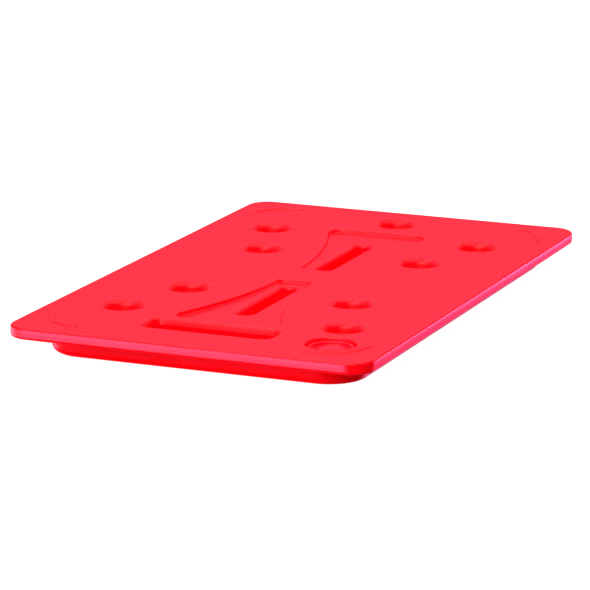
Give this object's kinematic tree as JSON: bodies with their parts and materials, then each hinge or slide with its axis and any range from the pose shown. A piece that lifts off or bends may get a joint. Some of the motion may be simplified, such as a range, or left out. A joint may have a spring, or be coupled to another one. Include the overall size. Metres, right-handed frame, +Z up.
{
  "type": "gel-filled heat retaining plate",
  "caption": "Hollow gastronorm plate with a flange rim, shallow tub, dimples, flared recesses, hand-hold slot and screw plug; keeps food pans hot or cold.",
  "frame": {"origin": "middle of the underside, on the surface that the plate rests on", "axes": "+Z up, out of the top face; +Y along the plate's length, away from the hand-hold; +X across it, towards the filler plug's side"},
  "size_m": [0.325, 0.53, 0.03],
  "materials": {
    "shell_plastic": "satin",
    "gel": "satin",
    "plug_plastic": "satin",
    "seal_rubber": "matte"
  },
  "bodies": {
    "casing": {"upper_shell": "shell_plastic", "lower_shell": "shell_plastic", "gel_fill": "gel"},
    "seal": {"plug_seal": "seal_rubber"},
    "plug": {"filler_plug": "plug_plastic"}
  },
  "joints": [
    {"name": "plug_lift", "type": "slide", "parent": "casing", "child": "seal", "axis": [0, 0, 1], "range_m": [0, 0.0121]},
    {"name": "plug_turn", "type": "hinge", "parent": "seal", "child": "plug", "pos_m": [0.111, -0.212, 0.0185], "axis": [0, 0, 1], "range_deg": [0, 1080]}
  ],
  "couplings": [
    {"joint": "plug_lift", "follows": "plug_turn", "m_per_rad": 0.00063662}
  ]
}
